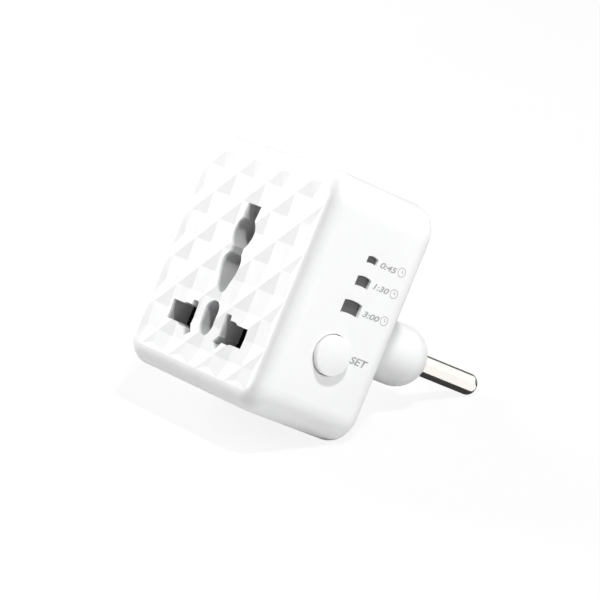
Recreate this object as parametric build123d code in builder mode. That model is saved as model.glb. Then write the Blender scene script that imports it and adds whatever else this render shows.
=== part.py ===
"""Plug-in countdown timer socket: universal outlet in front, two round plug pins behind.

Millimetres.  +X is to the right seen from the front, +Y goes into the wall, +Z is up.
The origin is midway between the two pins, on the plane where they leave the plug boss.
"""
from build123d import *
import os

os.makedirs("parts", exist_ok=True)

# ---------------------------------------------------------------- driving dimensions
BODY_W = 54.0
BODY_H = 52.0
BODY_D = 27.0
BODY_Z = 4.15            # body centre above the pin axes
BACK_Y = -20.8
FRONT_Y = BACK_Y - BODY_D
CORNER_R = 6.5
FRONT_FILLET = 3.6
BACK_FILLET = 4.0
WALL = 2.4
FACE_T = 5.5             # thickness of the outlet face
FIT = 0.05               # clearance between parts that are pressed or glued together

SEAM_Y = BACK_Y - 1.2    # split line between housing and cover
COVER_IN_Y = BACK_Y - 2.4
REGISTER_GAP = 0.1
CAVITY_Y = FRONT_Y + FACE_T
CAVITY_W = BODY_W - 2 * WALL
CAVITY_H = BODY_H - 2 * WALL
INNER_X = BODY_W / 2 - WALL

# faceted face: shallow four-sided pits on a diamond lattice
PIT_W = 11.28
PIT_H = 10.58
PIT_DEPTH = 0.3
PIT_LAND = 0.06
PIT_FADE = 1.2           # how fast pits get shallower as the border of the face cuts into them
PIT_Z0 = 1.8             # centre height of the row that has a pit at PIT_X0
PIT_X0 = -4.7
PIT_BORDER = 0.1         # plain strip between the lattice and the rounded front edge
PIT_FIELD_W = BODY_W - 2 * (FRONT_FILLET + PIT_BORDER)
PIT_FIELD_H = BODY_H - 2 * (FRONT_FILLET + PIT_BORDER)
PIT_FIELD_R = CORNER_R - FRONT_FILLET - PIT_BORDER

# outlet apertures, relative to the line-and-neutral axis
OUTLET_Z = -8.8
EARTH_TOP = 26.5
EARTH_SLOT_W = 4.7
EARTH_UPPER = (20.3, 3.8)      # height, radius
EARTH_WAIST_HALF = 2.15
EARTH_LOWER = (13.1, 3.4)
EARTH_END = (9.3, 2.2)
CENTRE_SLOT = (-2.55, 5.15, 5.0)   # bottom, top, width
BLADE_X = (7.7, 14.85)
BLADE_HALF_H = 2.12
ROUND_PIN_X = (8.3, 9.5)       # the round pins may stand anywhere between these
ROUND_PIN_R = 2.5
FLAT_SLOT = (5.55, 7.75, -1.6, 3.6)
FLAT_SLOT_CORNER = 0.6
SLANT_CENTRE = (7.1, -1.33)
SLANT_SLOT = (5.6, 2.35)
SLANT_ANGLE = 35.0

# plug boss and pins
PIN_X = 9.5
PIN_R = 2.4
PIN_LENGTH = 16.6
PIN_TIP_R = 1.8
PIN_SHANK_R = 2.2        # inside the boss
BOSS_R = 6.75
BOSS_LAND = 0.45         # the dome is cut off flat this far below its crown
FLANGE_R = 3.4
FLANGE_T = 1.2
PIN_TAIL_R = 1.5
PIN_TAIL_END = -27.0
CLAMP_SIZE = (27.0, 9.6, 1.2)
CLAMP_CORNER = 2.5
CLAMP_Y = COVER_IN_Y - FLANGE_T - CLAMP_SIZE[2]
CLAMP_PAD_R = 2.2
CLAMP_HOLE_R = 1.1
CLAMP_SCREW_X = 3.0
CLAMP_SCREW_R = 0.9
CLAMP_SHANK = 7.0
CLAMP_HEAD = (1.7, 1.0)        # radius, height
CLAMP_RECESS = (1.0, 0.6)      # half length, depth
CLAMP_BORE_END = COVER_IN_Y + 5.8

# cover screws and their posts
SCREW_X = 20.5
SCREW_DZ = 19.5
POST_R = 2.6
SCREW_R = 1.0
SCREW_END_Y = -31.0
SCREW_GAP = 0.2          # radial play of a screw in the cover
HEAD_R = 2.0
HEAD_H = 1.3
HEAD_GAP = 0.25
HEAD_SINK = 0.1          # heads sit this far below the back face
COVER_RECESS = (1.15, 0.8)     # half length, depth
RECESS_HALF_W = 0.28

# indicator windows in the +X wall: y range, z range
WINDOW_45 = (-35.6, -32.9, 15.05, 16.5)
WINDOW_90 = (-36.2, -32.6, 9.95, 12.1)
WINDOW_180 = (-37.0, -32.3, 3.95, 6.7)
WINDOWS = [WINDOW_45, WINDOW_90, WINDOW_180]
WINDOW_BOW = 0.3
WINDOW_RECESS = 0.8
WINDOW_FLANGE = 0.7
WINDOW_BACK_X = 23.0

# push button in the +X wall
BUTTON_Y = -35.0
BUTTON_Z = -5.0
BUTTON_R = 4.2
BUTTON_HOLE_R = 4.4
BUTTON_TOP_X = 28.6
BUTTON_SHOULDER_X = 27.95
BUTTON_EDGE = 0.3
BUTTON_FLANGE_R = 5.6
BUTTON_FLANGE_X = (23.6, 24.5)
BUTTON_NUB = (23.35, 1.4)      # inner end, radius

# boards
BOARD_Y = (-42.0, -25.0)
BOARD_Z = (-12.0, 20.9)
CONTROL_X = (18.6, 19.8)
POWER_X = (-23.4, -22.0)
GROOVE_Z = (-9.5, 17.0)        # centre heights of the grooves that hold the boards
GROOVE_HALF_H = 1.5
GROOVE_WALL = 1.1
GROOVE_DEPTH = 0.8
SWITCH_SIZE = 6.0
SWITCH_CHAMFER = 0.5
SWITCH_TOP_X = 22.3
PLUNGER_R = 1.6
PLUNGER_BORE_R = 1.8
PLUNGER_X = (21.2, 23.3)
PLUNGER_BORE_X = 20.4
SHROUD_TOP_X = 22.9
SHROUD_Y = (-38.2, -31.2)
SHROUD_Z = (2.6, 18.0)
LED_BASE = (0.4, 1.6, 0.8)     # size along X, Y and Z
LED_LENS = (0.5, 1.0, 0.8)
CHIP_Y = (-38.0, -34.1)
CHIP_Z = (-0.5, 4.4)
CHIP_H = 1.5
CHIP_LIFT = 0.1
CHIP_LEGS = 4                  # on each side
LEG_Z0 = 0.05
LEG_PITCH = 1.27
LEG_HALF_W = 0.2
CAPACITOR_AT = (-31.0, 12.0)   # y, z
CAPACITOR_R = 3.15
CAPACITOR_L = 11.5

# parts on the power board; a block is (height above the board, y range, z range)
RELAY = (14.5, (-41.1, -30.9), (3.0, 20.6))
FILM_CAPACITOR = (11.0, (-30.7, -25.3), (6.2, 18.8))
RECTIFIER = (2.5, (-36.5, -31.8), (-9.2, -5.3))
RECTIFIER_LEG_Y = (-35.4, -32.9)
VARISTOR_Y = (-40.2, -37.2)
VARISTOR_Z = -0.1
VARISTOR_R = 2.8
VARISTOR_LEG_Z = (-1.4, 1.2)
POWER_LEG = 0.6
AXIAL_Z = -8.0
AXIAL_L = 5.4
AXIAL_REACH = 0.9              # leads reach this far beyond the body before they bend
FUSE = (-39.4, 1.3, 0.3)       # y, body radius, half width of a lead
RESISTOR = (-26.6, 1.1, 0.25)

# contacts and their carrier
CARRIER_X = 16.2
CARRIER_Z = (-15.2, -2.4)
CARRIER_BACK_Y = -28.6
POCKET_X = (4.7, 15.7)
POCKET_HALF_H = 4.1
CARRIER_CLEARANCE = 0.6        # the carrier's opening is this much larger than the slot in the face
STRIP_T = 0.5
LEAF_X = (7.9, 15.2)
LEAF_SPLIT = 0.6
LEAF_GAP = 4.4
LEAF_FRONT_Y = -42.2
PLATE_X = (4.1, 16.0)
PLATE_HALF_H = 4.7
TAB_X = (7.0, 12.0)
TAB_H = 1.6
PEG_R = 0.7
PEG_L = 3.0
PEG_HOLE = 4.0
PEG_X = 10.0
PEG_Z = -14.1

WIRE_R = 0.9
WIRE_BEND = 1.6
WIRE_MID_Y = -29.6
LINK_R = 0.4
LINK_PITCH = 1.3
LINK_COUNT = 4
LINK_Y0 = -30.2


def facing(y):
    """Plane across the depth at y: local axes are X and Z, extrude(-d) goes towards +Y."""
    return Plane.XZ.offset(-y)


def side(x):
    """Plane parallel to the side walls at x: local axes are Y and Z."""
    return Plane.YZ.offset(x)


def export(part, name):
    part.label = name
    export_step(part, f"parts/{name}.step")


def box_between(x, y, z):
    """Block spanning three (low, high) pairs, added to the part being built."""
    size = (x[1] - x[0], y[1] - y[0], z[1] - z[0])
    with Locations(((x[0] + x[1]) / 2, (y[0] + y[1]) / 2, (z[0] + z[1]) / 2)):
        Box(*size)


def cut_box(x, y, z):
    """Block spanning three (low, high) pairs, removed from the part being built."""
    size = (x[1] - x[0], y[1] - y[0], z[1] - z[0])
    with Locations(((x[0] + x[1]) / 2, (y[0] + y[1]) / 2, (z[0] + z[1]) / 2)):
        Box(*size, mode=Mode.SUBTRACT)


def rounded_block(y0, y1, width, height, radius):
    """Rounded rectangular block about the body centre, from y0 to y1."""
    with BuildPart() as block:
        with BuildSketch(facing(y0)):
            with Locations((0, BODY_Z)):
                RectangleRounded(width, height, radius)
        extrude(amount=-(y1 - y0))
    return block.part


# ---------------------------------------------------------------- outer shape of the body
plain_block = rounded_block(FRONT_Y, BACK_Y, BODY_W, BODY_H, CORNER_R)
cavity_block = rounded_block(CAVITY_Y, BACK_Y, CAVITY_W, CAVITY_H, CORNER_R - WALL)
register_block = rounded_block(
    COVER_IN_Y, SEAM_Y,
    CAVITY_W - 2 * REGISTER_GAP, CAVITY_H - 2 * REGISTER_GAP, CORNER_R - WALL - REGISTER_GAP,
)

with BuildPart() as body_block:
    add(plain_block)
    fillet(body_block.faces().sort_by(Axis.Y)[0].edges(), FRONT_FILLET)
    fillet(body_block.faces().sort_by(Axis.Y)[-1].edges(), BACK_FILLET)


# ---------------------------------------------------------------- the faceted pattern
def pit_centres():
    """Centres (x, z) of the lattice cells, up to a quarter of a cell outside the field."""
    centres = []
    for row in range(-5, 6):
        z = PIT_Z0 + PIT_H / 2 * row
        for column in range(-3, 4):
            x = PIT_X0 + PIT_W * column + (PIT_W / 2 if row % 2 else 0)
            if abs(x) < PIT_FIELD_W / 2 + PIT_W / 4 and abs(z - BODY_Z) < PIT_FIELD_H / 2 + PIT_H / 4:
                centres.append((x, z))
    return centres


def add_pit(x, z):
    """Four-sided pyramid trimmed to the field, shallower the more of it is trimmed off."""
    half_w = PIT_W / 2 - PIT_LAND
    half_h = PIT_H / 2 - PIT_LAND
    with BuildSketch(facing(FRONT_Y)) as rim:
        with Locations((x, z)):
            Polygon((half_w, 0), (0, half_h), (-half_w, 0), (0, -half_h), align=None)
        with Locations((0, BODY_Z)):
            RectangleRounded(PIT_FIELD_W, PIT_FIELD_H, PIT_FIELD_R, mode=Mode.INTERSECT)
    share = rim.sketch.area / (2 * half_w * half_h)
    middle = rim.sketch.center(CenterOf.MASS)
    deepest = Vertex(middle.X, FRONT_Y + PIT_DEPTH * share ** PIT_FADE, middle.Z)
    loft(sections=[rim.sketch, deepest])


with BuildPart() as pits:
    for pit_x, pit_z in pit_centres():
        add_pit(pit_x, pit_z)


# ---------------------------------------------------------------- outlet apertures
def earth_aperture():
    with Locations((0, OUTLET_Z + EARTH_LOWER[0])):
        Circle(EARTH_LOWER[1])
    with Locations((0, OUTLET_Z + EARTH_END[0])):
        Circle(EARTH_END[1])
    make_hull()
    with Locations((0, OUTLET_Z + EARTH_UPPER[0])):
        Circle(EARTH_UPPER[1])
    with Locations((0, OUTLET_Z + (EARTH_UPPER[0] + EARTH_LOWER[0]) / 2)):
        Rectangle(2 * EARTH_WAIST_HALF, EARTH_UPPER[0] - EARTH_LOWER[0])
    slot_height = EARTH_TOP - EARTH_UPPER[0]
    with Locations((0, OUTLET_Z + EARTH_UPPER[0] + slot_height / 2)):
        Rectangle(EARTH_SLOT_W, slot_height)


def centre_aperture():
    bottom, top, width = CENTRE_SLOT
    with Locations((0, OUTLET_Z + (bottom + top) / 2)):
        SlotOverall(top - bottom, width, rotation=90)


def pole_aperture(sign):
    blade_w = BLADE_X[1] - BLADE_X[0]
    with Locations((sign * (BLADE_X[0] + blade_w / 2), OUTLET_Z)):
        Rectangle(blade_w, 2 * BLADE_HALF_H)
    with Locations((sign * (ROUND_PIN_X[0] + ROUND_PIN_X[1]) / 2, OUTLET_Z)):
        SlotCenterToCenter(ROUND_PIN_X[1] - ROUND_PIN_X[0], 2 * ROUND_PIN_R)
    x0, x1, z0, z1 = FLAT_SLOT
    with Locations((sign * (x0 + x1) / 2, OUTLET_Z + (z0 + z1) / 2)):
        RectangleRounded(x1 - x0, z1 - z0, FLAT_SLOT_CORNER)
    with Locations((sign * SLANT_CENTRE[0], OUTLET_Z + SLANT_CENTRE[1])):
        Rectangle(SLANT_SLOT[1], SLANT_SLOT[0], rotation=-sign * SLANT_ANGLE)


def window_face(window, grow):
    """Bowed rectangle of an indicator window, grown outwards by grow."""
    y0, y1, z0, z1 = window
    y0, y1 = y0 - grow, y1 + grow
    z0, z1 = z0 - grow, z1 + grow
    middle = (y0 + y1) / 2
    low, high = z0 - WINDOW_BOW / 2, z1 - WINDOW_BOW / 2
    with BuildSketch() as outline:
        with BuildLine():
            ThreePointArc((y0, low), (middle, low + WINDOW_BOW), (y1, low))
            Line((y1, low), (y1, high))
            ThreePointArc((y1, high), (middle, high + WINDOW_BOW), (y0, high))
            Line((y0, high), (y0, low))
        make_face()
    return outline.sketch_local


# ---------------------------------------------------------------- front housing
screw_points = [(sx * SCREW_X, BODY_Z + sz * SCREW_DZ) for sx in (-1, 1) for sz in (-1, 1)]
clamp_points = [(-CLAMP_SCREW_X, 0), (CLAMP_SCREW_X, 0)]

with BuildPart() as front_housing:
    add(body_block.part)
    cut_box((-BODY_W, BODY_W), (SEAM_Y, 0), (-BODY_H, BODY_H))
    add(cavity_block, mode=Mode.SUBTRACT)
    add(pits.part, mode=Mode.SUBTRACT)

    with BuildSketch(facing(FRONT_Y - 1)):
        earth_aperture()
    extrude(amount=-(FACE_T + 2), mode=Mode.SUBTRACT)
    with BuildSketch(facing(FRONT_Y - 1)):
        centre_aperture()
        pole_aperture(1)
        pole_aperture(-1)
    extrude(amount=-(FACE_T + 2), mode=Mode.SUBTRACT)

    with BuildSketch(side(INNER_X - 1)):
        for window in WINDOWS:
            add(window_face(window, 0))
    extrude(amount=WALL + 2, mode=Mode.SUBTRACT)
    with BuildSketch(side(INNER_X - 1)):
        with Locations((BUTTON_Y, BUTTON_Z)):
            Circle(BUTTON_HOLE_R)
    extrude(amount=WALL + 2, mode=Mode.SUBTRACT)

    # posts for the cover screws
    with BuildSketch(facing(CAVITY_Y)):
        with Locations(*screw_points):
            Circle(POST_R)
    extrude(amount=-(COVER_IN_Y - CAVITY_Y))
    with BuildSketch(facing(COVER_IN_Y)):
        with Locations(*screw_points):
            Circle(SCREW_R + FIT)
    extrude(amount=COVER_IN_Y - SCREW_END_Y + 1.0, mode=Mode.SUBTRACT)

    # pegs that locate the contact carrier
    with BuildSketch(facing(CAVITY_Y)):
        with Locations((-PEG_X, PEG_Z), (PEG_X, PEG_Z)):
            Circle(PEG_R)
    extrude(amount=-PEG_L)

    # grooves that hold the front edges of the two boards
    groove_y = (CAVITY_Y, BOARD_Y[0] + GROOVE_DEPTH)
    for x0, x1 in (CONTROL_X, POWER_X):
        for z in GROOVE_Z:
            groove_z = (z - GROOVE_HALF_H, z + GROOVE_HALF_H)
            box_between((x0 - GROOVE_WALL, x0 - FIT), groove_y, groove_z)
            box_between((x1 + FIT, x1 + GROOVE_WALL), groove_y, groove_z)
export(front_housing.part, "front_housing")


# ---------------------------------------------------------------- rear cover with the plug boss
with BuildPart() as rear_cover:
    add(body_block.part)
    cut_box((-BODY_W, BODY_W), (FRONT_Y - 1, SEAM_Y), (-BODY_H, BODY_H))
    add(register_block)
    # boss: a capsule with domed end, its axis along the line of the pins
    dome_y = BOSS_LAND - BOSS_R
    with BuildSketch(facing(BACK_Y)):
        SlotCenterToCenter(2 * PIN_X, 2 * BOSS_R)
    extrude(amount=BACK_Y - dome_y)
    with Locations((-PIN_X, dome_y, 0), (PIN_X, dome_y, 0)):
        Sphere(BOSS_R)
    with BuildSketch(side(-PIN_X)):
        with Locations((dome_y, 0)):
            Circle(BOSS_R)
    extrude(amount=2 * PIN_X)
    cut_box((-BODY_W, BODY_W), (0, BOSS_R), (-BOSS_R, BOSS_R))
    # raised pads the pin clamp is screwed to
    with BuildSketch(facing(COVER_IN_Y)):
        with Locations(*clamp_points):
            Circle(CLAMP_PAD_R)
    extrude(amount=FLANGE_T)
    # bores for pins, clamp screws and cover screws
    with BuildSketch(facing(0)):
        with Locations((-PIN_X, 0), (PIN_X, 0)):
            Circle(PIN_SHANK_R + FIT)
    extrude(amount=-COVER_IN_Y, mode=Mode.SUBTRACT)
    with BuildSketch(facing(COVER_IN_Y - FLANGE_T)):
        with Locations(*clamp_points):
            Circle(CLAMP_SCREW_R + FIT)
    extrude(amount=-(CLAMP_BORE_END - COVER_IN_Y + FLANGE_T), mode=Mode.SUBTRACT)
    with BuildSketch(facing(BACK_Y)):
        with Locations(*screw_points):
            Circle(SCREW_R + SCREW_GAP)
    extrude(amount=BACK_Y - COVER_IN_Y, mode=Mode.SUBTRACT)
    with BuildSketch(facing(BACK_Y)):
        with Locations(*screw_points):
            Circle(HEAD_R + HEAD_GAP)
    extrude(amount=HEAD_H + HEAD_SINK, mode=Mode.SUBTRACT)
export(rear_cover.part, "rear_cover")


# ---------------------------------------------------------------- screws
def cross_recess(x, z, y, inner_y, half_length):
    """Cross-shaped driver recess from the face of a head at y to its floor at inner_y."""
    y_range = sorted((y, inner_y))
    cut_box((x - half_length, x + half_length), y_range, (z - RECESS_HALF_W, z + RECESS_HALF_W))
    cut_box((x - RECESS_HALF_W, x + RECESS_HALF_W), y_range, (z - half_length, z + half_length))


with BuildPart() as cover_screws:
    head_y = BACK_Y - HEAD_SINK
    with BuildSketch(facing(head_y)):
        with Locations(*screw_points):
            Circle(HEAD_R)
    extrude(amount=HEAD_H)
    chamfer(cover_screws.faces().filter_by(GeomType.PLANE).group_by(Axis.Y)[-1].edges(), 0.3)
    with BuildSketch(facing(head_y - HEAD_H)):
        with Locations(*screw_points):
            Circle(SCREW_R)
    extrude(amount=head_y - HEAD_H - SCREW_END_Y)
    for screw_x, screw_z in screw_points:
        cross_recess(screw_x, screw_z, head_y, head_y - COVER_RECESS[1], COVER_RECESS[0])
export(cover_screws.part, "cover_screws")

with BuildPart() as clamp_screws:
    clamp_head_y = CLAMP_Y - CLAMP_HEAD[1]
    with BuildSketch(facing(CLAMP_Y)):
        with Locations(*clamp_points):
            Circle(CLAMP_HEAD[0])
    extrude(amount=CLAMP_HEAD[1])
    with BuildSketch(facing(CLAMP_Y)):
        with Locations(*clamp_points):
            Circle(CLAMP_SCREW_R)
    extrude(amount=-CLAMP_SHANK)
    for screw_x, screw_z in clamp_points:
        cross_recess(screw_x, screw_z, clamp_head_y, clamp_head_y + CLAMP_RECESS[1], CLAMP_RECESS[0])
export(clamp_screws.part, "clamp_screws")


# ---------------------------------------------------------------- plug pins and their clamp
def plug_pin(x):
    with BuildPart() as pin:
        with BuildSketch(facing(0)):
            with Locations((x, 0)):
                Circle(PIN_R)
        extrude(amount=-PIN_LENGTH)
        fillet(pin.edges().sort_by(Axis.Y)[-1], PIN_TIP_R)
        with BuildSketch(facing(COVER_IN_Y)):
            with Locations((x, 0)):
                Circle(PIN_SHANK_R)
        extrude(amount=COVER_IN_Y)
        with BuildSketch(facing(COVER_IN_Y)):
            with Locations((x, 0)):
                Circle(FLANGE_R)
        extrude(amount=FLANGE_T)
        with BuildSketch(facing(COVER_IN_Y - FLANGE_T)):
            with Locations((x, 0)):
                Circle(PIN_TAIL_R)
        extrude(amount=COVER_IN_Y - FLANGE_T - PIN_TAIL_END)
    return pin.part


export(plug_pin(-PIN_X), "live_pin")
export(plug_pin(PIN_X), "neutral_pin")

with BuildPart() as pin_clamp:
    with BuildSketch(facing(CLAMP_Y)):
        RectangleRounded(CLAMP_SIZE[0], CLAMP_SIZE[1], CLAMP_CORNER)
        with Locations((-PIN_X, 0), (PIN_X, 0)):
            Circle(PIN_TAIL_R + SCREW_GAP, mode=Mode.SUBTRACT)
        with Locations(*clamp_points):
            Circle(CLAMP_HOLE_R, mode=Mode.SUBTRACT)
    extrude(amount=-CLAMP_SIZE[2])
export(pin_clamp.part, "pin_clamp")


# ---------------------------------------------------------------- contacts and carrier
with BuildPart() as contact_carrier:
    box_between((-CARRIER_X, CARRIER_X), (CAVITY_Y, CARRIER_BACK_Y), CARRIER_Z)
    for sign in (-1, 1):
        pocket_x = sorted((sign * POCKET_X[0], sign * POCKET_X[1]))
        cut_box(pocket_x, (CAVITY_Y, CARRIER_BACK_Y), (OUTLET_Z - POCKET_HALF_H, OUTLET_Z + POCKET_HALF_H))
    with BuildSketch(facing(CAVITY_Y)):
        with Locations((0, OUTLET_Z + (CENTRE_SLOT[0] + CENTRE_SLOT[1]) / 2)):
            slot_height = CENTRE_SLOT[1] - CENTRE_SLOT[0] + CARRIER_CLEARANCE
            SlotOverall(slot_height, CENTRE_SLOT[2] + CARRIER_CLEARANCE, rotation=90)
    extrude(amount=-(CARRIER_BACK_Y - CAVITY_Y), mode=Mode.SUBTRACT)
    with BuildSketch(facing(CAVITY_Y)):
        with Locations((-PEG_X, PEG_Z), (PEG_X, PEG_Z)):
            Circle(PEG_R + FIT)
    extrude(amount=-PEG_HOLE, mode=Mode.SUBTRACT)
export(contact_carrier.part, "contact_carrier")


def contact(sign, tab_up):
    """Folded brass strip: back plate, an upper and a lower pair of leaves, solder tab."""
    with BuildPart() as strip:
        plate_x = sorted((sign * PLATE_X[0], sign * PLATE_X[1]))
        plate_y = (CARRIER_BACK_Y, CARRIER_BACK_Y + STRIP_T)
        box_between(plate_x, plate_y, (OUTLET_Z - PLATE_HALF_H, OUTLET_Z + PLATE_HALF_H))
        middle = (LEAF_X[0] + LEAF_X[1]) / 2
        split = LEAF_SPLIT / 2
        for x0, x1 in ((LEAF_X[0], middle - split), (middle + split, LEAF_X[1])):
            leaf_x = sorted((sign * x0, sign * x1))
            for side_sign in (-1, 1):
                leaf_z = sorted((
                    OUTLET_Z + side_sign * LEAF_GAP / 2,
                    OUTLET_Z + side_sign * (LEAF_GAP / 2 + STRIP_T),
                ))
                box_between(leaf_x, (LEAF_FRONT_Y, CARRIER_BACK_Y), leaf_z)
        tab_z = (OUTLET_Z + PLATE_HALF_H, OUTLET_Z + PLATE_HALF_H + TAB_H)
        if not tab_up:
            tab_z = (OUTLET_Z - PLATE_HALF_H - TAB_H, OUTLET_Z - PLATE_HALF_H)
        tab_x = sorted((sign * TAB_X[0], sign * TAB_X[1]))
        box_between(tab_x, plate_y, tab_z)
    return strip.part


export(contact(1, False), "live_contact")
export(contact(-1, True), "neutral_contact")


# ---------------------------------------------------------------- indicator windows
def window_insert(window):
    with BuildPart() as insert:
        with BuildSketch(side(WINDOW_BACK_X)):
            add(window_face(window, WINDOW_FLANGE))
        extrude(amount=INNER_X - WINDOW_BACK_X)
        with BuildSketch(side(INNER_X)):
            add(window_face(window, -FIT))
        extrude(amount=WALL - WINDOW_RECESS)
    return insert.part


export(window_insert(WINDOW_45), "window_45")
export(window_insert(WINDOW_90), "window_90")
export(window_insert(WINDOW_180), "window_180")


# ---------------------------------------------------------------- set button and its switch
with BuildPart() as set_button:
    button_plane = Plane(origin=(0, BUTTON_Y, BUTTON_Z), x_dir=(1, 0, 0), z_dir=(0, 0, 1))
    shoulder_arc = BUTTON_EDGE * (1 - 0.5 ** 0.5)
    face_r = BUTTON_R - BUTTON_EDGE
    dome_rise = BUTTON_TOP_X - BUTTON_SHOULDER_X - BUTTON_EDGE
    dome_r = (face_r ** 2 + dome_rise ** 2) / (2 * dome_rise)
    dome_drop = dome_r - (dome_r ** 2 - (face_r / 2) ** 2) ** 0.5
    with BuildSketch(button_plane):
        with BuildLine():
            Polyline(
                (BUTTON_NUB[0], 0),
                (BUTTON_NUB[0], BUTTON_NUB[1]),
                (BUTTON_FLANGE_X[0], BUTTON_NUB[1]),
                (BUTTON_FLANGE_X[0], BUTTON_FLANGE_R),
                (BUTTON_FLANGE_X[1], BUTTON_FLANGE_R),
                (BUTTON_FLANGE_X[1], BUTTON_R),
                (BUTTON_SHOULDER_X, BUTTON_R),
            )
            ThreePointArc(
                (BUTTON_SHOULDER_X, BUTTON_R),
                (BUTTON_SHOULDER_X + BUTTON_EDGE - shoulder_arc, BUTTON_R - shoulder_arc),
                (BUTTON_SHOULDER_X + BUTTON_EDGE, face_r),
            )
            ThreePointArc(
                (BUTTON_SHOULDER_X + BUTTON_EDGE, face_r),
                (BUTTON_TOP_X - dome_drop, face_r / 2),
                (BUTTON_TOP_X, 0),
            )
            Line((BUTTON_TOP_X, 0), (BUTTON_NUB[0], 0))
        make_face()
    revolve(axis=Axis((0, BUTTON_Y, BUTTON_Z), (1, 0, 0)))
export(set_button.part, "set_button")

switch_y = (BUTTON_Y - SWITCH_SIZE / 2, BUTTON_Y + SWITCH_SIZE / 2)
switch_z = (BUTTON_Z - SWITCH_SIZE / 2, BUTTON_Z + SWITCH_SIZE / 2)
with BuildPart() as switch_body:
    box_between((CONTROL_X[1], SWITCH_TOP_X), switch_y, switch_z)
    with BuildSketch(side(PLUNGER_BORE_X)):
        with Locations((BUTTON_Y, BUTTON_Z)):
            Circle(PLUNGER_BORE_R)
    extrude(amount=SWITCH_TOP_X - PLUNGER_BORE_X, mode=Mode.SUBTRACT)
    chamfer(switch_body.edges().filter_by(Axis.X), SWITCH_CHAMFER)
export(switch_body.part, "switch_body")

with BuildPart() as switch_plunger:
    with BuildSketch(side(PLUNGER_X[0])):
        with Locations((BUTTON_Y, BUTTON_Z)):
            Circle(PLUNGER_R)
    extrude(amount=PLUNGER_X[1] - PLUNGER_X[0])
    chamfer(switch_plunger.edges().sort_by(Axis.X)[-1], 0.2)
export(switch_plunger.part, "switch_plunger")


# ---------------------------------------------------------------- control board and its parts
with BuildPart() as control_board:
    box_between(CONTROL_X, BOARD_Y, BOARD_Z)
export(control_board.part, "control_board")


def led(window):
    """Surface-mounted lamp on the control board behind a window: base with a smaller lens on it."""
    y0, y1, z0, z1 = window
    y = (y0 + y1) / 2
    z = (z0 + z1) / 2
    with BuildPart() as lamp:
        with Locations((CONTROL_X[1] + LED_BASE[0] / 2, y, z)):
            Box(*LED_BASE)
        with Locations((CONTROL_X[1] + LED_BASE[0] + LED_LENS[0] / 2, y, z)):
            Box(*LED_LENS)
    return lamp.part


export(led(WINDOW_45), "led_45")
export(led(WINDOW_90), "led_90")
export(led(WINDOW_180), "led_180")

with BuildPart() as light_shroud:
    box_between((CONTROL_X[1], SHROUD_TOP_X), SHROUD_Y, SHROUD_Z)
    for y0, y1, z0, z1 in WINDOWS:
        cut_box((CONTROL_X[1], SHROUD_TOP_X), (y0, y1), (z0, z1))
    fillet(light_shroud.edges().filter_by(Axis.X).group_by(Axis.Y)[0], 0.8)
    fillet(light_shroud.edges().filter_by(Axis.X).group_by(Axis.Y)[-1], 0.8)
export(light_shroud.part, "light_shroud")

with BuildPart() as timer_chip:
    box_between((CONTROL_X[0] - CHIP_H, CONTROL_X[0] - CHIP_LIFT), CHIP_Y, CHIP_Z)
    # each leg runs out from the body and steps down to a foot on the board
    for index in range(CHIP_LEGS):
        z = LEG_Z0 + LEG_PITCH * index
        leg_z = (z - LEG_HALF_W, z + LEG_HALF_W)
        for leg_y in ((CHIP_Y[0] - 1.0, CHIP_Y[0]), (CHIP_Y[1], CHIP_Y[1] + 1.0)):
            box_between((CONTROL_X[0] - 0.6, CONTROL_X[0] - 0.4), leg_y, leg_z)
        for foot_y in ((CHIP_Y[0] - 1.4, CHIP_Y[0] - 0.9), (CHIP_Y[1] + 0.9, CHIP_Y[1] + 1.4)):
            box_between((CONTROL_X[0] - 0.6, CONTROL_X[0]), foot_y, leg_z)
export(timer_chip.part, "timer_chip")

with BuildPart() as smoothing_capacitor:
    with BuildSketch(side(CONTROL_X[0] - CAPACITOR_L)):
        with Locations(CAPACITOR_AT):
            Circle(CAPACITOR_R)
    extrude(amount=CAPACITOR_L)
    fillet(smoothing_capacitor.edges().sort_by(Axis.X)[0], 0.5)
export(smoothing_capacitor.part, "smoothing_capacitor")


# ---------------------------------------------------------------- power board and its parts
board_face = POWER_X[1]
with BuildPart() as power_board:
    box_between(POWER_X, BOARD_Y, BOARD_Z)
export(power_board.part, "power_board")


def block_part(block, radius):
    """Boxed component standing on the power board, its top edges rounded."""
    height, y_range, z_range = block
    with BuildPart() as body:
        box_between((board_face, board_face + height), y_range, z_range)
        fillet(body.edges().group_by(Axis.X)[-1], radius)
    return body.part


export(block_part(RELAY, 0.6), "relay")
export(block_part(FILM_CAPACITOR, 0.5), "film_capacitor")

with BuildPart() as varistor:
    with BuildSketch(facing(VARISTOR_Y[0])):
        with Locations((board_face + VARISTOR_R + 0.1, VARISTOR_Z)):
            Circle(VARISTOR_R)
    extrude(amount=-(VARISTOR_Y[1] - VARISTOR_Y[0]))
    fillet(varistor.edges().filter_by(GeomType.CIRCLE), 0.8)
    leg_middle = (VARISTOR_Y[0] + VARISTOR_Y[1]) / 2
    varistor_leg_y = (leg_middle - POWER_LEG / 2, leg_middle + POWER_LEG / 2)
    for z in VARISTOR_LEG_Z:
        box_between((board_face, board_face + POWER_LEG), varistor_leg_y, (z - 0.3, z + 0.3))
export(varistor.part, "varistor")

with BuildPart() as rectifier:
    height, rectifier_y, (low_z, high_z) = RECTIFIER
    box_between((board_face + CHIP_LIFT, board_face + height), rectifier_y, (low_z, high_z))
    for y in RECTIFIER_LEG_Y:
        leg_y = (y - POWER_LEG / 2, y + POWER_LEG / 2)
        for leg_z in ((low_z - 0.7, low_z), (high_z, high_z + 0.7)):
            box_between((board_face, board_face + POWER_LEG), leg_y, leg_z)
export(rectifier.part, "rectifier")


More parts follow.
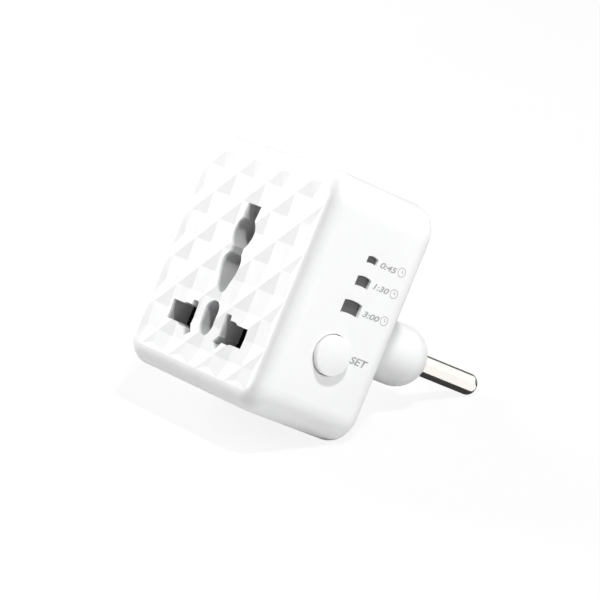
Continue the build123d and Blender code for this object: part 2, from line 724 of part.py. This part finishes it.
def axial_part(y, radius, lead):
    """Axial component lying on the power board along Z, both leads bent down to the board."""
    lead_y = (y - lead, y + lead)
    with BuildPart() as axial:
        centre_x = board_face + radius + 0.3
        with Locations((centre_x, y, AXIAL_Z)):
            Cylinder(radius, AXIAL_L)
        fillet(axial.edges().filter_by(GeomType.CIRCLE), 0.4)
        for end in (-1, 1):
            body_end = AXIAL_Z + end * AXIAL_L / 2
            tip = body_end + end * AXIAL_REACH
            box_between((centre_x - lead, centre_x + lead), lead_y, sorted((body_end, tip)))
            box_between((board_face, centre_x), lead_y, sorted((tip, tip - end * 2 * lead)))
    return axial.part


export(axial_part(*FUSE), "fuse")
export(axial_part(*RESISTOR), "series_resistor")


# ---------------------------------------------------------------- wires
def wire(points, radius):
    with BuildPart() as run:
        with BuildLine() as path:
            FilletPolyline(*points, radius=WIRE_BEND)
        with BuildSketch(Plane(origin=points[0], z_dir=path.line % 0)):
            Circle(radius)
        sweep(path=path.line)
    return run.part


tab_back_y = CARRIER_BACK_Y + STRIP_T + WIRE_R + FIT
export(
    wire([(-PIN_X, PIN_TAIL_END, 0), (-PIN_X, WIRE_MID_Y, 0), (board_face, WIRE_MID_Y, 0)], WIRE_R),
    "live_wire",
)
export(
    wire(
        [
            (PIN_X, PIN_TAIL_END, 0),
            (PIN_X, WIRE_MID_Y, 0),
            (5.5, WIRE_MID_Y, 0),
            (1.5, tab_back_y - 0.5, -0.8),
            (-4.0, tab_back_y - 0.5, -3.1),
            (-6.8, tab_back_y, -3.1),
            (-11.5, tab_back_y, -3.1),
        ],
        WIRE_R,
    ),
    "neutral_wire",
)
export(
    wire(
        [
            (board_face, -30.2, -10.4),
            (-19.0, -30.2, -10.4),
            (-16.6, tab_back_y, -11.5),
            (-14.8, tab_back_y, -17.2),
            (4.5, tab_back_y, -17.2),
            (7.0, tab_back_y, -14.5),
            (11.5, tab_back_y, -14.5),
        ],
        WIRE_R,
    ),
    "load_wire",
)
export(
    wire(
        [
            (board_face, WIRE_MID_Y, -7.2),
            (-19.5, WIRE_MID_Y, -7.2),
            (-17.5, tab_back_y, -7.2),
            (-12.5, tab_back_y, -7.2),
        ],
        WIRE_R,
    ),
    "neutral_feed",
)


def link_wire(y):
    points = [
        (board_face, y, 20.0),
        (-17.0, y, 20.0),
        (-14.5, y, 23.0),
        (13.0, y, 23.0),
        (15.5, y, 20.0),
        (CONTROL_X[0], y, 20.0),
    ]
    return wire(points, LINK_R)


link_group = Compound(children=[link_wire(LINK_Y0 + LINK_PITCH * index) for index in range(LINK_COUNT)])
export(link_group, "link_wires")
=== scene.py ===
"""Looks of the plug-in countdown timer socket: materials, printed marks, floor, lights, camera.

Metres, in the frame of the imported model: +Y into the wall, +Z up, +X to the side with the button.
"""
import math

import bmesh
import bpy
from mathutils import Matrix, Vector


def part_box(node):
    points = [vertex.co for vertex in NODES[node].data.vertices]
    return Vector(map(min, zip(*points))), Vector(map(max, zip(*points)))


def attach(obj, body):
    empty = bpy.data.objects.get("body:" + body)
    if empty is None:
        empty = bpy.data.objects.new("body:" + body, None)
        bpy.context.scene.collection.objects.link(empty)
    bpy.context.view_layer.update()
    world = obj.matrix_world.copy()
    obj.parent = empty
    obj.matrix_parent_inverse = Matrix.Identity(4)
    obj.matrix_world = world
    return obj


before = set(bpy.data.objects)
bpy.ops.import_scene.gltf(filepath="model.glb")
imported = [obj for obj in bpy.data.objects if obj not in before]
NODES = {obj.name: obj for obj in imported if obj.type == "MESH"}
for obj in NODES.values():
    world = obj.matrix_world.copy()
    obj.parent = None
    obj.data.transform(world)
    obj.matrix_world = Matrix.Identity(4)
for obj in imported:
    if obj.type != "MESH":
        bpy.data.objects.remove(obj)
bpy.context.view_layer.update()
MM = 0.001

# ---------------------------------------------------------------- where things are
CAMERA_PLACE = Vector((489.2, -376.3, 0.5)) * MM
CAMERA_AZIMUTH = math.radians(54.55)     # direction of view, from the front towards +X
CAMERA_ELEVATION = math.radians(-0.24)
CAMERA_ROLL = math.radians(22.25)
CAMERA_LENS = 171.07
CAMERA_SENSOR = 36.0

# the timer rests on the lower back edge of its body and on its pin tips
FLOOR_NORMAL = Vector((0.0, -0.4455, 0.8953))
FLOOR_OFFSET = -8.95 * MM
FLOOR_SIZE = 1.6

# printed marks
INK_LIFT = 0.02 * MM
CLOCK_RADIUS = 1.0 * MM
CLOCK_STROKE = 0.13 * MM
CLOCK_STEPS = 40
CLOCK_HANDS = (0.58, 0.42)    # long hand up and short hand to the right, in radii
CLOCK_SLANT = 0.12
PRINT_SLANT = 0.22
PRINT_WEIGHT = 0.020     # how far the letter outlines are swollen, in letter heights

# painted shade on the walls of the outlet openings: within INSIDE_REACH of x = 0 and of INSIDE_Z, deeper
# than INSIDE_Y
INSIDE_REACH = 18.0 * MM
INSIDE_Z = 2.0 * MM
INSIDE_Y = -47.4 * MM
INSIDE_BLEND = 0.5 * MM
# colour of the painted shade, multiplied into the plastic's colour
PAINTED_INSIDE_SHADE = (0.56, 0.56, 0.565)

MASK_BLEND = 0.2 * MM      # width over which a mask around a place fades out

# axis of the button, and how far around it the plain facets are shaded
BUTTON_Y = -35.0 * MM
BUTTON_Z = -5.0 * MM
BUTTON_MIDDLE = 1.0 * MM


# ---------------------------------------------------------------- material helpers
def new_material(name):
    """Empty node material: returns (material, node tree, shader)."""
    material = bpy.data.materials.new(name)
    material.use_nodes = True
    tree = material.node_tree
    shader = tree.nodes["Principled BSDF"]
    return material, tree, shader


def socket(sockets, identifier):
    """Socket of a node by its identifier, where several share one name."""
    return next(entry for entry in sockets if entry.identifier == identifier)


def object_coordinates(tree):
    """Coordinates of the shared frame: every CAD object has its origin there."""
    return tree.nodes.new("ShaderNodeTexCoord").outputs["Object"]


def noise(tree, vector, scale, detail=2.0):
    node = tree.nodes.new("ShaderNodeTexNoise")
    node.inputs["Scale"].default_value = scale
    node.inputs["Detail"].default_value = detail
    tree.links.new(vector, node.inputs["Vector"])
    return node.outputs["Fac"]


def map_range(tree, value, low, high, start=0.3, stop=0.7):
    """Value from start to stop becomes low to high."""
    node = tree.nodes.new("ShaderNodeMapRange")
    node.inputs["From Min"].default_value = start
    node.inputs["From Max"].default_value = stop
    node.inputs["To Min"].default_value = low
    node.inputs["To Max"].default_value = high
    tree.links.new(value, node.inputs["Value"])
    return node.outputs["Result"]


def calculate(tree, operation, *values):
    """Math node on sockets or plain numbers."""
    node = tree.nodes.new("ShaderNodeMath")
    node.operation = operation
    for index, value in enumerate(values):
        if isinstance(value, bpy.types.NodeSocket):
            tree.links.new(value, node.inputs[index])
        else:
            node.inputs[index].default_value = value
    return node.outputs["Value"]


def two_colours(tree, value, low, high, start=0.3, stop=0.7):
    """Colour ramp between two colours, driven by value."""
    ramp = tree.nodes.new("ShaderNodeValToRGB")
    ramp.color_ramp.elements[0].position = start
    ramp.color_ramp.elements[0].color = (*low, 1.0)
    ramp.color_ramp.elements[1].position = stop
    ramp.color_ramp.elements[1].color = (*high, 1.0)
    tree.links.new(value, ramp.inputs["Fac"])
    return ramp.outputs["Color"]


def bump(tree, shader, height, distance):
    node = tree.nodes.new("ShaderNodeBump")
    node.inputs["Distance"].default_value = distance
    tree.links.new(height, node.inputs["Height"])
    tree.links.new(node.outputs["Normal"], shader.inputs["Normal"])


def stretched(tree, vector, factors):
    """Coordinates stretched along the axes, for drawn or turned surfaces."""
    node = tree.nodes.new("ShaderNodeMapping")
    node.inputs["Scale"].default_value = factors
    tree.links.new(vector, node.inputs["Vector"])
    return node.outputs["Vector"]


def plastic(name, low, high, roughness, grain=5200.0, grain_depth=0.004 * MM, specular=0.5):
    """Moulded plastic: faint flow marks in colour and gloss, fine spark-eroded grain."""
    material, tree, shader = new_material(name)
    place = object_coordinates(tree)
    flow = noise(tree, place, 55.0, detail=3.0)
    fine = noise(tree, place, grain, detail=2.0)
    tree.links.new(two_colours(tree, flow, low, high), shader.inputs["Base Color"])
    rough = map_range(tree, noise(tree, place, 240.0, detail=4.0), roughness[0], roughness[1])
    tree.links.new(rough, shader.inputs["Roughness"])
    shader.inputs["Specular IOR Level"].default_value = specular
    bump(tree, shader, fine, grain_depth)
    return material


def near_middle(tree, value, middle, reach):
    """One where value lies within reach of middle, fading to zero beyond."""
    offset = calculate(tree, "SUBTRACT", value, middle)
    distance = calculate(tree, "ABSOLUTE", offset)
    return map_range(tree, distance, 1.0, 0.0, reach, reach + MASK_BLEND)


def facets_at_axis(material, y, z, reach):
    """Shades by the true facets near an axis along X, where a dome's smoothed facets meet."""
    tree = material.node_tree
    shader = tree.nodes["Principled BSDF"]
    smooth = shader.inputs["Normal"].links[0].from_socket
    split = tree.nodes.new("ShaderNodeSeparateXYZ")
    tree.links.new(object_coordinates(tree), split.inputs["Vector"])
    amount = calculate(
        tree, "MULTIPLY",
        near_middle(tree, split.outputs["Y"], y, reach),
        near_middle(tree, split.outputs["Z"], z, reach),
    )
    geometry = tree.nodes.new("ShaderNodeNewGeometry")
    choice = tree.nodes.new("ShaderNodeMix")
    choice.data_type = "VECTOR"
    tree.links.new(amount, socket(choice.inputs, "Factor_Float"))
    tree.links.new(smooth, socket(choice.inputs, "A_Vector"))
    tree.links.new(geometry.outputs["True Normal"], socket(choice.inputs, "B_Vector"))
    tree.links.new(socket(choice.outputs, "Result_Vector"), shader.inputs["Normal"])


def paint_shade_inside(material):
    """Painted shade on the walls of the outlet openings and inside the shell: the plastic's colour is
    multiplied darker there.
    """
    tree = material.node_tree
    shader = tree.nodes["Principled BSDF"]
    colour = shader.inputs["Base Color"].links[0].from_socket
    split = tree.nodes.new("ShaderNodeSeparateXYZ")
    tree.links.new(object_coordinates(tree), split.inputs["Vector"])
    within_x = near_middle(tree, split.outputs["X"], 0.0, INSIDE_REACH)
    within_z = near_middle(tree, split.outputs["Z"], INSIDE_Z, INSIDE_REACH)
    behind = map_range(tree, split.outputs["Y"], 0.0, 1.0, INSIDE_Y, INSIDE_Y + INSIDE_BLEND)
    amount = calculate(tree, "MULTIPLY", calculate(tree, "MULTIPLY", within_x, within_z), behind)
    shade = tree.nodes.new("ShaderNodeMix")
    shade.data_type = "RGBA"
    shade.blend_type = "MULTIPLY"
    tree.links.new(amount, socket(shade.inputs, "Factor_Float"))
    tree.links.new(colour, socket(shade.inputs, "A_Color"))
    socket(shade.inputs, "B_Color").default_value = (*PAINTED_INSIDE_SHADE, 1.0)
    tree.links.new(socket(shade.outputs, "Result_Color"), shader.inputs["Base Color"])


def metal(name, low, high, roughness, line_axis, line_scale=9000.0, line_depth=0.0006 * MM):
    """Bare metal with fine lines running along line_axis (0, 1 or 2) and small gloss changes."""
    material, tree, shader = new_material(name)
    place = object_coordinates(tree)
    factors = [1.0, 1.0, 1.0]
    factors[line_axis] = 0.02
    lines = noise(tree, stretched(tree, place, factors), line_scale, detail=1.0)
    blotches = noise(tree, place, 300.0, detail=3.0)
    tree.links.new(two_colours(tree, blotches, low, high), shader.inputs["Base Color"])
    tree.links.new(map_range(tree, blotches, roughness[0], roughness[1]), shader.inputs["Roughness"])
    shader.inputs["Metallic"].default_value = 1.0
    bump(tree, shader, lines, line_depth)
    return material


def board_laminate(name):
    """Green circuit board: solder mask over a faint glass weave, pale edges of tracks."""
    material, tree, shader = new_material(name)
    place = object_coordinates(tree)
    weave = tree.nodes.new("ShaderNodeTexWave")
    weave.bands_direction = "Z"
    weave.inputs["Scale"].default_value = 700.0
    weave.inputs["Distortion"].default_value = 1.5
    tree.links.new(place, weave.inputs["Vector"])
    mask = noise(tree, place, 380.0, detail=1.0)
    colour = two_colours(tree, mask, (0.012, 0.11, 0.035), (0.03, 0.19, 0.06), 0.45, 0.55)
    tree.links.new(colour, shader.inputs["Base Color"])
    tree.links.new(map_range(tree, mask, 0.28, 0.42), shader.inputs["Roughness"])
    bump(tree, shader, weave.outputs["Fac"], 0.01 * MM)
    return material


def paint_node(node, material):
    """Gives a CAD node's every material slot the finished material."""
    mesh = NODES[node].data
    if not mesh.materials:
        mesh.materials.append(material)
    for index in range(len(mesh.materials)):
        mesh.materials[index] = material


# ---------------------------------------------------------------- materials of the CAD nodes
WHITE_LOW = (0.865, 0.868, 0.872)
WHITE_HIGH = (0.895, 0.897, 0.900)
# painted shade: the rear cover gets a darker copy of the housing's white, for the dimmer back with the
# boss
COVER_SHADED_LOW = (0.80, 0.803, 0.807)
COVER_SHADED_HIGH = (0.83, 0.833, 0.837)

housing_white = plastic("housing_white", WHITE_LOW, WHITE_HIGH, (0.46, 0.56))
# painted shade on the walls of the outlet openings and inside the shell
paint_shade_inside(housing_white)
# painted shade: darker copy of the housing's white, on the rear cover
cover_shaded_white = plastic("cover_shaded_white", COVER_SHADED_LOW, COVER_SHADED_HIGH, (0.46, 0.56))
button_white = plastic("button_white", WHITE_LOW, WHITE_HIGH, (0.46, 0.54), grain_depth=0.0025 * MM)
facets_at_axis(button_white, BUTTON_Y, BUTTON_Z, BUTTON_MIDDLE)
clamp_white = plastic("clamp_white", (0.72, 0.72, 0.70), (0.78, 0.78, 0.76), (0.45, 0.6))
smoked = plastic(
    "smoked_window", (0.085, 0.085, 0.088), (0.10, 0.10, 0.103), (0.3, 0.42),
    grain_depth=0.002 * MM,
)
black_moulding = plastic(
    "black_moulding", (0.006, 0.006, 0.006), (0.011, 0.011, 0.011), (0.55, 0.7), specular=0.3,
)
chip_black = plastic("chip_epoxy", (0.012, 0.012, 0.013), (0.02, 0.02, 0.021), (0.5, 0.62))
relay_blue = plastic("relay_case", (0.012, 0.06, 0.24), (0.018, 0.075, 0.28), (0.3, 0.4))
film_yellow = plastic("film_case", (0.62, 0.36, 0.03), (0.7, 0.42, 0.04), (0.3, 0.42))
varistor_blue = plastic("varistor_coat", (0.02, 0.12, 0.42), (0.03, 0.15, 0.5), (0.22, 0.35), grain=900.0)
fuse_white = plastic("fuse_body", (0.7, 0.68, 0.6), (0.78, 0.76, 0.68), (0.25, 0.4))
resistor_blue = plastic("resistor_body", (0.14, 0.32, 0.42), (0.2, 0.4, 0.5), (0.3, 0.45))
led_clear = plastic("led_body", (0.75, 0.73, 0.6), (0.85, 0.83, 0.7), (0.12, 0.25))
plunger_red = plastic("plunger_red", (0.5, 0.025, 0.02), (0.58, 0.035, 0.03), (0.35, 0.5))
brown_wire = plastic("wire_brown", (0.1, 0.035, 0.015), (0.14, 0.05, 0.02), (0.35, 0.5))
blue_wire = plastic("wire_blue", (0.02, 0.08, 0.4), (0.03, 0.1, 0.5), (0.35, 0.5))
red_wire = plastic("wire_red", (0.45, 0.02, 0.015), (0.55, 0.03, 0.02), (0.35, 0.5))
grey_wire = plastic("wire_grey", (0.25, 0.25, 0.25), (0.32, 0.32, 0.32), (0.35, 0.5))
nickel = metal("nickel_plate", (0.80, 0.775, 0.735), (0.86, 0.835, 0.795), (0.10, 0.17), line_axis=1)
zinc_steel = metal("zinc_steel", (0.52, 0.53, 0.54), (0.62, 0.63, 0.64), (0.25, 0.4), line_axis=0)
strip_brass = metal("strip_brass", (0.62, 0.43, 0.16), (0.72, 0.52, 0.22), (0.22, 0.36), line_axis=1)
can_aluminium = metal("can_aluminium", (0.6, 0.6, 0.62), (0.7, 0.7, 0.72), (0.25, 0.4), line_axis=0)
board_green = board_laminate("board_laminate")

NODE_MATERIALS = {
    "front_housing": housing_white,
    "rear_cover": cover_shaded_white,
    "set_button": button_white,
    "window_45": smoked,
    "window_90": smoked,
    "window_180": smoked,
    "live_pin": nickel,
    "neutral_pin": nickel,
    "cover_screws": zinc_steel,
    "clamp_screws": zinc_steel,
    "pin_clamp": clamp_white,
    "contact_carrier": black_moulding,
    "live_contact": strip_brass,
    "neutral_contact": strip_brass,
    "control_board": board_green,
    "power_board": board_green,
    "relay": relay_blue,
    "film_capacitor": film_yellow,
    "smoothing_capacitor": can_aluminium,
    "varistor": varistor_blue,
    "rectifier": chip_black,
    "timer_chip": chip_black,
    "fuse": fuse_white,
    "series_resistor": resistor_blue,
    "led_45": led_clear,
    "led_90": led_clear,
    "led_180": led_clear,
    "light_shroud": black_moulding,
    "switch_body": black_moulding,
    "switch_plunger": plunger_red,
    "live_wire": brown_wire,
    "neutral_wire": blue_wire,
    "neutral_feed": blue_wire,
    "load_wire": red_wire,
    "link_wires": grey_wire,
}
for node, material in NODE_MATERIALS.items():
    paint_node(node, material)


# ---------------------------------------------------------------- printed marks on the side
def ink(name):
    """Grey pad-printing ink: slightly uneven cover, matt."""
    material, tree, shader = new_material(name)
    place = object_coordinates(tree)
    cover = noise(tree, place, 2600.0, detail=3.0)
    tree.links.new(
        two_colours(tree, cover, (0.32, 0.32, 0.325), (0.42, 0.42, 0.425)),
        shader.inputs["Base Color"],
    )
    tree.links.new(map_range(tree, cover, 0.5, 0.7), shader.inputs["Roughness"])
    bump(tree, shader, cover, 0.002 * MM)
    return material


side_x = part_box("front_housing")[1].x
print_grey = ink("print_ink")


def on_side(y, z):
    """Matrix that lays a flat drawing on the side wall: its X runs along +Y, its Y along +Z."""
    turn = Matrix(((0, 0, 1), (1, 0, 0), (0, 1, 0))).to_4x4()
    return Matrix.Translation((side_x + INK_LIFT, y, z)) @ turn


def printed_text(name, words, left, bottom, width, height):
    """Italic lettering as a thin flat mesh, fitted to width and height."""
    curve = bpy.data.curves.new(name, "FONT")
    curve.body = words
    curve.shear = PRINT_SLANT
    curve.offset = PRINT_WEIGHT
    curve.resolution_u = 6
    temporary = bpy.data.objects.new(name + "_outline", curve)
    bpy.context.scene.collection.objects.link(temporary)
    bpy.context.view_layer.update()
    mesh = bpy.data.meshes.new_from_object(temporary)
    mesh.name = name
    bpy.data.objects.remove(temporary)
    xs = [v.co.x for v in mesh.vertices]
    ys = [v.co.y for v in mesh.vertices]
    fit = Matrix.Diagonal((width / (max(xs) - min(xs)), height / (max(ys) - min(ys)), 1.0, 1.0))
    mesh.transform(fit @ Matrix.Translation((-min(xs), -min(ys), 0.0)))
    mesh.transform(on_side(left, bottom))
    return finish_print(name, mesh)


def finish_print(name, mesh):
    """Object of a printed mesh, in ink, that stays with the housing."""
    mesh.materials.clear()
    mesh.materials.append(print_grey)
    piece = bpy.data.objects.new(name, mesh)
    bpy.context.scene.collection.objects.link(piece)
    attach(piece, "housing")
    return piece


def ring_and_hands(name, y, z, radius, stroke):
    """Clock symbol: a ring, a long hand up and a short hand to the right."""
    builder = bmesh.new()
    inner = []
    outer = []
    for index in range(CLOCK_STEPS):
        angle = 2 * math.pi * index / CLOCK_STEPS
        spot = Vector((math.cos(angle), math.sin(angle), 0.0))
        inner.append(builder.verts.new(spot * (radius - stroke)))
        outer.append(builder.verts.new(spot * radius))
    for index in range(CLOCK_STEPS):
        following = (index + 1) % CLOCK_STEPS
        builder.faces.new((inner[index], outer[index], outer[following], inner[following]))
    half = stroke / 2
    long = radius * CLOCK_HANDS[0]
    short = radius * CLOCK_HANDS[1]
    corners = ((-half, -half), (short, -half), (short, half), (half, half), (half, long), (-half, long))
    builder.faces.new([builder.verts.new((x, up, 0.0)) for x, up in corners])
    mesh = bpy.data.meshes.new(name)
    builder.to_mesh(mesh)
    builder.free()
    mesh.transform(on_side(y, z) @ Matrix.Shear("XY", 4, (CLOCK_SLANT, 0.0)))
    return finish_print(name, mesh)


# key, words, left, bottom, width and height of the words, y and z of the clock; millimetres
TIME_MARKS = [
    ("45", "0:45", -32.0, 15.05, 4.35, 1.25, -26.3, 15.9),
    ("90", "1:30", -31.55, 10.55, 4.05, 1.25, -26.1, 11.25),
    ("180", "3:00", -31.5, 4.6, 4.4, 1.25, -25.8, 5.4),
]
for key, words, left, bottom, width, height, clock_y, clock_z in TIME_MARKS:
    printed_text("mark_time_" + key, words, left * MM, bottom * MM, width * MM, height * MM)
    ring_and_hands("mark_clock_" + key, clock_y * MM, clock_z * MM, CLOCK_RADIUS, CLOCK_STROKE)
SET_PLACE = (-30.1 * MM, -5.15 * MM)
SET_SIZE = (4.6 * MM, 1.6 * MM)
printed_text("mark_set", "SET", *SET_PLACE, *SET_SIZE)


# ---------------------------------------------------------------- floor
def camera_or_other(tree, camera_value, other_value):
    """One value for what the camera sees directly, another for light that falls on the timer."""
    path = tree.nodes.new("ShaderNodeLightPath")
    pick = tree.nodes.new("ShaderNodeMapRange")
    pick.inputs["To Min"].default_value = other_value
    pick.inputs["To Max"].default_value = camera_value
    tree.links.new(path.outputs["Is Camera Ray"], pick.inputs["Value"])
    return pick.outputs["Result"]


def floor_material(glow, seen_response, bounce_response):
    """White sweep, washed out for the camera: there it glows and shows only faint shadows.
    Towards the timer it is ordinary white paper. Seen from below it lets the view through."""
    material, tree, shader = new_material("studio_floor")
    place = object_coordinates(tree)
    mottle = noise(tree, place, 6.0, detail=3.0)
    white = camera_or_other(tree, seen_response, bounce_response)
    paper = calculate(tree, "MULTIPLY", white, map_range(tree, mottle, 0.97, 1.0))
    tree.links.new(paper, shader.inputs["Base Color"])
    shader.inputs["Roughness"].default_value = 0.9
    shader.inputs["Specular IOR Level"].default_value = 0.0
    shader.inputs["Emission Color"].default_value = (1.0, 1.0, 1.0, 1.0)
    tree.links.new(camera_or_other(tree, glow, 0.0), shader.inputs["Emission Strength"])
    clear = tree.nodes.new("ShaderNodeBsdfTransparent")
    mix = tree.nodes.new("ShaderNodeMixShader")
    geometry = tree.nodes.new("ShaderNodeNewGeometry")
    output = tree.nodes["Material Output"]
    tree.links.new(geometry.outputs["Backfacing"], mix.inputs["Fac"])
    tree.links.new(shader.outputs["BSDF"], mix.inputs[1])
    tree.links.new(clear.outputs["BSDF"], mix.inputs[2])
    tree.links.new(mix.outputs["Shader"], output.inputs["Surface"])
    return material


def flat_card(name, centre, normal, size_x, size_y, material):
    """Rectangular card facing normal."""
    builder = bmesh.new()
    half_x, half_y = size_x / 2, size_y / 2
    corners = ((-half_x, -half_y), (half_x, -half_y), (half_x, half_y), (-half_x, half_y))
    builder.faces.new([builder.verts.new((x, y, 0.0)) for x, y in corners])
    mesh = bpy.data.meshes.new(name)
    builder.to_mesh(mesh)
    builder.free()
    turn = Vector(normal).to_track_quat("Z", "Y").to_matrix().to_4x4()
    mesh.transform(Matrix.Translation(centre) @ turn)
    mesh.materials.append(material)
    card = bpy.data.objects.new(name, mesh)
    bpy.context.scene.collection.objects.link(card)


flat_card(
    "floor", FLOOR_NORMAL * FLOOR_OFFSET, FLOOR_NORMAL, FLOOR_SIZE, FLOOR_SIZE,
    floor_material(glow=0.88, seen_response=0.10, bounce_response=0.66),
)


# ---------------------------------------------------------------- lights
def softbox(name, place, aim, side, watts):
    """Square area lamp aimed at a point."""
    light = bpy.data.lights.new(name, "AREA")
    light.shape = "SQUARE"
    light.size = side
    light.energy = watts
    lamp = bpy.data.objects.new(name, light)
    lamp.location = place
    lamp.rotation_mode = "QUATERNION"
    lamp.rotation_quaternion = (Vector(aim) - Vector(place)).to_track_quat("-Z", "Y")
    bpy.context.scene.collection.objects.link(lamp)


def mirror_card(name, near, far, strength):
    """Strip between two rows of points, seen only as a reflection in shiny surfaces."""
    material = bpy.data.materials.new(name)
    material.use_nodes = True
    tree = material.node_tree
    tree.nodes.remove(tree.nodes["Principled BSDF"])
    glow = tree.nodes.new("ShaderNodeEmission")
    glow.inputs["Strength"].default_value = strength
    tree.links.new(glow.outputs["Emission"], tree.nodes["Material Output"].inputs["Surface"])
    mesh = bpy.data.meshes.new(name)
    count = len(near)
    faces = [(i, i + 1, count + i + 1, count + i) for i in range(count - 1)]
    mesh.from_pydata([tuple(point) for point in near + far], [], faces)
    mesh.materials.append(material)
    card = bpy.data.objects.new(name, mesh)
    bpy.context.scene.collection.objects.link(card)
    card.visible_camera = False
    card.visible_diffuse = False
    card.visible_transmission = False
    card.visible_volume_scatter = False
    card.visible_shadow = False


def pin_reflection(angle, spread):
    """Direction a pin mirrors from the camera when its surface faces half this angle above +X."""
    across = math.sqrt(1.0 - spread * spread)
    return Vector((across * math.cos(angle), spread, across * math.sin(angle)))


def studio_world(surround, mirrored, backdrop):
    """Even surround light, dark in reflections, plain bright backdrop past the floor's edge."""
    world = bpy.data.worlds.new("studio")
    world.use_nodes = True
    tree = world.node_tree
    background = tree.nodes["Background"]
    path = tree.nodes.new("ShaderNodeLightPath")
    unseen = tree.nodes.new("ShaderNodeMapRange")
    unseen.inputs["To Min"].default_value = surround
    unseen.inputs["To Max"].default_value = mirrored
    tree.links.new(path.outputs["Is Glossy Ray"], unseen.inputs["Value"])
    strength = tree.nodes.new("ShaderNodeMapRange")
    strength.inputs["To Max"].default_value = backdrop
    tree.links.new(unseen.outputs["Result"], strength.inputs["To Min"])
    tree.links.new(path.outputs["Is Camera Ray"], strength.inputs["Value"])
    tree.links.new(strength.outputs["Result"], background.inputs["Strength"])
    background.inputs["Color"].default_value = (1.0, 1.0, 1.0, 1.0)
    bpy.context.scene.world = world


studio_world(surround=0.30, mirrored=0.13, backdrop=1.0)

# name, place seen from the point the lamp is aimed at, side of its square, watts
AIM = Vector((0.0, -0.02, 0.0))
LAMPS = [
    ("overhead", (0.45, -0.40, 0.80), 0.08, 6.9),
    ("raking_left", (-0.93, -0.30, 0.20), 0.30, 9.6),
    ("fill_right", (0.90, 0.12, 0.42), 0.4, 2.35),
]
for name, offset, side, watts in LAMPS:
    softbox(name, AIM + Vector(offset), AIM, side, watts)

# long white band on the pins: a tall card behind, from level at the right to up at the left
PIN_SPREAD = 0.58
CARD_HALF = 0.18
CARD_LOW = math.radians(-8.0)
CARD_HIGH = math.radians(114.0)
CARD_STEPS = 12
CARD_STRENGTH = 1.25
band_near = []
band_far = []
for step in range(CARD_STEPS + 1):
    angle = CARD_LOW + (CARD_HIGH - CARD_LOW) * step / CARD_STEPS
    band_near.append(pin_reflection(angle, PIN_SPREAD - CARD_HALF))
    band_far.append(pin_reflection(angle, PIN_SPREAD + CARD_HALF))
mirror_card("pin_band", band_near, band_far, CARD_STRENGTH)

# the pins mirror the floor: painted shade from far left up to this edge (x, y in millimetres), a nearly
# black sheet seen only in reflections; bright past it, a glowing sheet also seen only in reflections
SHADE_EDGE = [
    (18.4, -6.0), (16.7, 0.0), (14.4, 8.0), (12.3, 15.0), (10.9, 20.0), (18.0, 28.0), (22.0, 60.0),
]
SHADE_FAR_X = -30.0
GLOW_FAR_X = 400.0
GLOW_FAR_Y = (60.0, 120.0, 180.0, 240.0, 300.0, 360.0, 480.0)
CARD_LIFT = 0.1 * MM
SHADE_STRENGTH = 0.05
GLOW_STRENGTH = 1.15


def on_floor(x, y, lift):
    """Point lift above the floor, straight under (x, y) along the timer's own upright."""
    height = FLOOR_OFFSET + lift - FLOOR_NORMAL.y * y
    return Vector((x, y, height / FLOOR_NORMAL.z))


shade_near = [on_floor(x * MM, y * MM, CARD_LIFT) for x, y in SHADE_EDGE]
shade_far = [on_floor(SHADE_FAR_X * MM, y * MM, CARD_LIFT) for x, y in SHADE_EDGE]
# painted shade: nearly black sheet under the pins, seen only in reflections
mirror_card("floor_shade", shade_near, shade_far, SHADE_STRENGTH)
glow_far = [on_floor(GLOW_FAR_X * MM, y * MM, CARD_LIFT) for y in GLOW_FAR_Y]
mirror_card("floor_glow", shade_near, glow_far, GLOW_STRENGTH)


# ---------------------------------------------------------------- camera
def photo_camera():
    """Long lens, level with the timer, rolled clockwise against the timer's own upright."""
    lens = bpy.data.cameras.new("photo_camera")
    lens.lens = CAMERA_LENS
    lens.sensor_width = CAMERA_SENSOR
    lens.clip_start = 0.01
    lens.clip_end = 10.0
    camera = bpy.data.objects.new("photo_camera", lens)
    back = Vector((
        math.sin(CAMERA_AZIMUTH) * math.cos(CAMERA_ELEVATION),
        -math.cos(CAMERA_AZIMUTH) * math.cos(CAMERA_ELEVATION),
        math.sin(CAMERA_ELEVATION),
    ))
    level_right = Vector((0, 0, 1)).cross(back).normalized()
    level_up = back.cross(level_right)
    right = level_right * math.cos(CAMERA_ROLL) + level_up * math.sin(CAMERA_ROLL)
    up = back.cross(right)
    turn = Matrix((right, up, back)).transposed().to_4x4()
    camera.matrix_world = Matrix.Translation(CAMERA_PLACE) @ turn
    bpy.context.scene.collection.objects.link(camera)
    return camera


bpy.context.scene.camera = photo_camera()
bpy.context.scene.view_settings.view_transform = "Standard"
